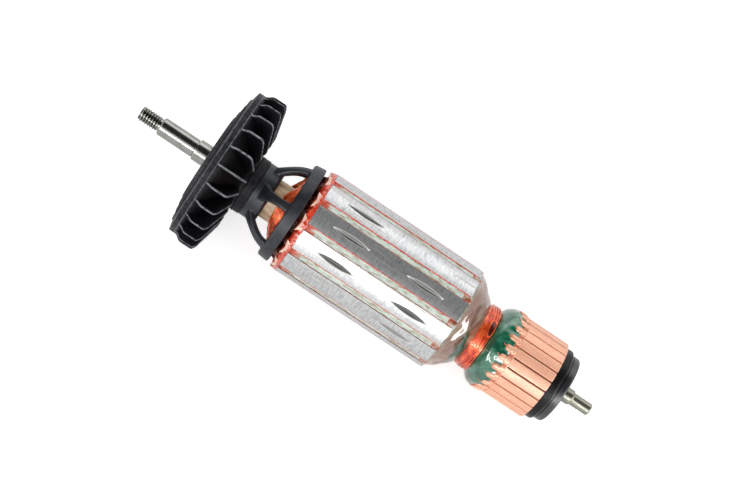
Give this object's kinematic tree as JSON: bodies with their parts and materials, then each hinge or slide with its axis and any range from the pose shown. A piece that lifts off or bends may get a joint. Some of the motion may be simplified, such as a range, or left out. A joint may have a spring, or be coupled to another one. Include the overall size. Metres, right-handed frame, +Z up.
{
  "type": "motor armature",
  "caption": "Wound armature of a small commutator motor: shaft with threaded end, radial fan, winding guard, slotted core, resin-covered winding heads and a hooked copper commutator.",
  "frame": {"origin": "centre of the bounding box's underside, on the surface it lies on", "axes": "+X along the shaft from the thread to the commutator end, which dips 6.4 degrees below level; +Z up; the shaft's axis lies in the XZ plane"},
  "size_m": [0.1654, 0.0526, 0.0528],
  "materials": {
    "steel_shaft": "ground bright steel",
    "black_nylon": "moulded glass-filled nylon, satin black",
    "sleeve_plastic": "moulded beige insulating tube",
    "core_steel": "turned lamination stack",
    "red_resin": "fibre plate under red impregnating resin",
    "liner_film": "pale pink slot liner film",
    "wedge_fibre": "pale grey-green fibre strip",
    "magnet_wire": "enamelled copper wire, glossy orange-red",
    "copper": "turned copper",
    "phenolic": "brown phenolic moulding",
    "clear_resin": "clear impregnating resin over the winding",
    "green_resin": "glossy green resin",
    "ring_plastic": "satin black moulded ring"
  },
  "bodies": {
    "root": {"shaft": "steel_shaft", "fan": "black_nylon", "winding_guard": "black_nylon", "shaft_sleeve": "sleeve_plastic", "core": "core_steel", "end_plates": "red_resin", "slot_liners": "liner_film", "slot_wedge_01": "wedge_fibre", "slot_wedge_02": "wedge_fibre", "slot_wedge_03": "wedge_fibre", "slot_wedge_04": "wedge_fibre", "slot_wedge_05": "wedge_fibre", "slot_wedge_06": "wedge_fibre", "slot_wedge_07": "wedge_fibre", "slot_wedge_08": "wedge_fibre", "slot_wedge_09": "wedge_fibre", "slot_wedge_10": "wedge_fibre", "slot_wedge_11": "wedge_fibre", "slot_wedge_12": "wedge_fibre", "coil_01": "magnet_wire", "coil_02": "magnet_wire", "coil_03": "magnet_wire", "coil_04": "magnet_wire", "coil_05": "magnet_wire", "coil_06": "magnet_wire", "coil_07": "magnet_wire", "coil_08": "magnet_wire", "coil_09": "magnet_wire", "coil_10": "magnet_wire", "coil_11": "magnet_wire", "coil_12": "magnet_wire", "commutator_bar_01": "copper", "commutator_bar_02": "copper", "commutator_bar_03": "copper", "commutator_bar_04": "copper", "commutator_bar_05": "copper", "commutator_bar_06": "copper", "commutator_bar_07": "copper", "commutator_bar_08": "copper", "commutator_bar_09": "copper", "commutator_bar_10": "copper", "commutator_bar_11": "copper", "commutator_bar_12": "copper", "commutator_bar_13": "copper", "commutator_bar_14": "copper", "commutator_bar_15": "copper", "commutator_bar_16": "copper", "commutator_bar_17": "copper", "commutator_bar_18": "copper", "commutator_bar_19": "copper", "commutator_bar_20": "copper", "commutator_bar_21": "copper", "commutator_bar_22": "copper", "commutator_bar_23": "copper", "commutator_bar_24": "copper", "commutator_hub": "phenolic", "lead_band": "magnet_wire", "winding_resin": "clear_resin", "collar_resin": "green_resin", "end_ring": "ring_plastic"}
  },
  "joints": []
}
